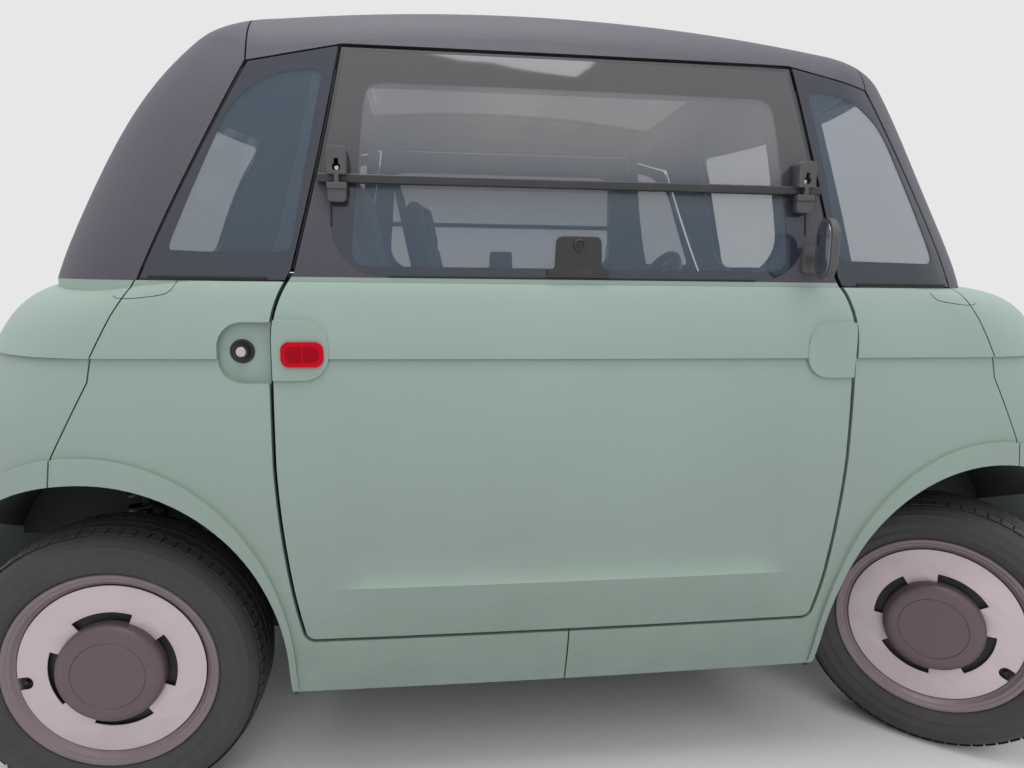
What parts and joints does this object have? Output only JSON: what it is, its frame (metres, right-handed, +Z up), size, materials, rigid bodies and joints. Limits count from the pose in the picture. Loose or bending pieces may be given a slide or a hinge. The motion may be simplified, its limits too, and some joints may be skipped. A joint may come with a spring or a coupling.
{
  "type": "microcar",
  "caption": "Small two-seat electric microcar: boxy rounded moulded body, dark roof and pillars, large side doors with flap windows, steering front wheels with full covers.",
  "frame": {"origin": "on the ground under the middle of the car", "axes": "+X forward, +Y to the car's left, +Z up"},
  "size_m": [2.535, 1.5568, 1.5299],
  "materials": {
    "body_paint": "satin mint green moulded plastic",
    "roof_trim": "fine-grained anthracite plastic",
    "tinted_glass": "tinted, with a black printed border",
    "black_plastic": "fine grained",
    "red_reflector": "moulded prismatic red",
    "amber_reflector": "moulded prismatic amber",
    "clear_lens": "clear lens over a bright reflector",
    "red_lens": "red lens",
    "frame_paint": "matt black coated steel",
    "chassis_paint": "black coated steel",
    "dark_plastic": "grained",
    "cast_metal": "cast, rough",
    "casing": "sand cast",
    "seat_fabric": "woven",
    "wheel_finish": "light silver cover with a grey cap and rim",
    "tyre": "dusty black rubber"
  },
  "bodies": {
    "body": {"arch_liners": "dark_plastic", "battery": "casing", "cabin_frame": "frame_paint", "chassis": "chassis_paint", "dashboard": "dark_plastic", "drive_unit": "casing", "fender_front_left": "body_paint", "fender_front_right": "body_paint", "fender_rear_left": "body_paint", "fender_rear_right": "body_paint", "floor_tub": "dark_plastic", "front_pillars": "roof_trim", "front_suspension": "chassis_paint", "headlamps": "clear_lens", "lock_buttons": "black_plastic", "nose_panel": "body_paint", "pedals": "black_plastic", "quarter_glass": "tinted_glass", "rack_housing": "cast_metal", "rear_pillars": "roof_trim", "rear_suspension": "chassis_paint", "rear_window": "tinted_glass", "roof_glass": "tinted_glass", "roof_shell": "roof_trim", "seat_cushions": "seat_fabric", "seat_shells": "dark_plastic", "springs": "chassis_paint", "steering_column": "black_plastic", "tail_lamps": "red_lens", "tail_panel": "body_paint", "windscreen": "tinted_glass", "wiper": "black_plastic"},
    "door_right": {"door_right": "body_paint", "door_glass_right": "tinted_glass", "window_bar_right": "black_plastic", "door_reflector_right": "red_reflector", "mirror_right": "black_plastic"},
    "door_left": {"door_left": "body_paint", "door_glass_left": "tinted_glass", "window_bar_left": "black_plastic", "door_reflector_left": "amber_reflector", "mirror_left": "black_plastic"},
    "knuckle_right": {"knuckle_right": "cast_metal"},
    "knuckle_left": {"knuckle_left": "cast_metal"},
    "steering_rack": {"steering_rack": "cast_metal"},
    "steering_wheel": {"steering_wheel": "black_plastic"},
    "wheel_front_right": {"wheel_front_right": "wheel_finish", "tyre_front_right": "tyre"},
    "wheel_front_left": {"wheel_front_left": "wheel_finish", "tyre_front_left": "tyre"},
    "wheel_rear_right": {"wheel_rear_right": "wheel_finish", "tyre_rear_right": "tyre"},
    "wheel_rear_left": {"wheel_rear_left": "wheel_finish", "tyre_rear_left": "tyre"}
  },
  "joints": [
    {"name": "door_right_hinge", "type": "hinge", "parent": "body", "child": "door_right", "pos_m": [0.472, -0.679, 0.64], "axis": [0, 0, 1], "range_deg": [0, 70]},
    {"name": "door_left_hinge", "type": "hinge", "parent": "body", "child": "door_left", "pos_m": [-0.472, 0.679, 0.64], "axis": [0, 0, 1], "range_deg": [0, 70]},
    {"name": "steer_right", "type": "hinge", "parent": "body", "child": "knuckle_right", "pos_m": [0.864, -0.5655, 0.2785], "axis": [0, 0, 1], "range_deg": [-1.5, 78.5]},
    {"name": "steer_left", "type": "hinge", "parent": "body", "child": "knuckle_left", "pos_m": [0.864, 0.5655, 0.2785], "axis": [0, 0, 1], "range_deg": [-1.5, 78.5]},
    {"name": "rack_slide", "type": "slide", "parent": "body", "child": "steering_rack", "axis": [0, 1, 0], "range_m": [-0.1075, 0.0025]},
    {"name": "steering_wheel_turn", "type": "hinge", "parent": "body", "child": "steering_wheel", "pos_m": [0.425, 0.275, 0.935], "axis": [-0.8829, 0, 0.4695], "range_deg": [-18, 942]},
    {"name": "wheel_front_right_spin", "type": "hinge", "parent": "knuckle_right", "child": "wheel_front_right", "pos_m": [0.82665, -0.61246, 0.2785], "axis": [0.6225, 0.7826, 0], "continuous": true},
    {"name": "wheel_front_left_spin", "type": "hinge", "parent": "knuckle_left", "child": "wheel_front_left", "pos_m": [0.90135, 0.61246, 0.2785], "axis": [0.6225, 0.7826, 0], "continuous": true},
    {"name": "wheel_rear_right_spin", "type": "hinge", "parent": "body", "child": "wheel_rear_right", "pos_m": [-0.864, -0.6255, 0.2785], "axis": [0, 1, 0], "continuous": true},
    {"name": "wheel_rear_left_spin", "type": "hinge", "parent": "body", "child": "wheel_rear_left", "pos_m": [-0.864, 0.6255, 0.2785], "axis": [0, 1, 0], "continuous": true}
  ],
  "couplings": [
    {"joint": "steer_left", "follows": "steer_right", "ratio": 1},
    {"joint": "rack_slide", "follows": "steer_right", "m_per_rad": -0.0773},
    {"joint": "steering_wheel_turn", "follows": "steer_right", "ratio": 12}
  ]
}
